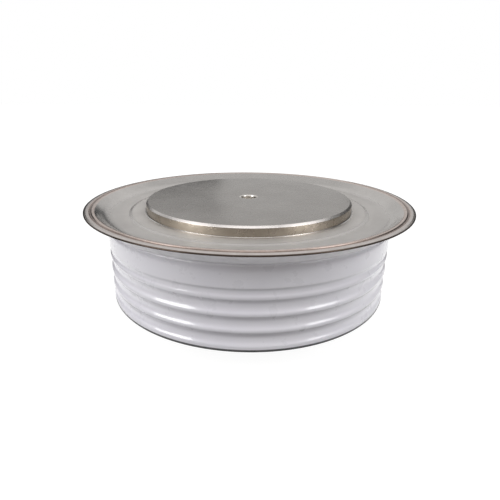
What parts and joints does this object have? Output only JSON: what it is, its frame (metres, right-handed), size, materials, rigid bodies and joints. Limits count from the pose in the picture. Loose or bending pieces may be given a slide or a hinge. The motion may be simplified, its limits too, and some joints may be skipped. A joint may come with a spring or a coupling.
{
  "type": "disc thyristor",
  "caption": "Press-pack disc thyristor: two round copper poles with flat contact faces, a dished metal flange with a welded rim, and a white glazed ribbed ceramic ring.",
  "frame": {"origin": "centre of the anode contact face, which the capsule stands on", "axes": "+Z along the capsule's axis towards the cathode contact face, +Y along the gate terminal"},
  "size_m": [0.073, 0.073, 0.026],
  "materials": {
    "pole_nickel": "satin nickel plate",
    "flange_nickel": "bright nickel plate",
    "weld_metal": "nickel plate with copper showing at the weld",
    "glazed_ceramic": "white gloss glaze",
    "molybdenum": "lapped",
    "silicon": "polished",
    "silver_foil": "soft silver foil",
    "silicone_rubber": "soft translucent white",
    "white_plastic": "matt",
    "gate_metal": "gold flash",
    "spring_steel": "satin",
    "copper_wire": "drawn",
    "terminal_nickel": "bright nickel plate"
  },
  "bodies": {
    "root": {"cathode_pole": "pole_nickel", "cathode_flange": "flange_nickel", "weld_ring": "weld_metal", "ceramic_ring": "glazed_ceramic", "anode_flange": "flange_nickel", "anode_pole": "pole_nickel", "anode_molybdenum_disc": "molybdenum", "silicon_wafer": "silicon", "cathode_molybdenum_disc": "molybdenum", "cathode_foil": "silver_foil", "passivation_ring": "silicone_rubber", "centring_ring": "white_plastic", "gate_pin": "gate_metal", "gate_springs": "spring_steel", "gate_washer": "spring_steel", "gate_cup": "white_plastic", "gate_lead": "copper_wire", "gate_lead_sleeve": "white_plastic", "gate_tube": "terminal_nickel", "gate_eyelet": "terminal_nickel"}
  },
  "joints": []
}
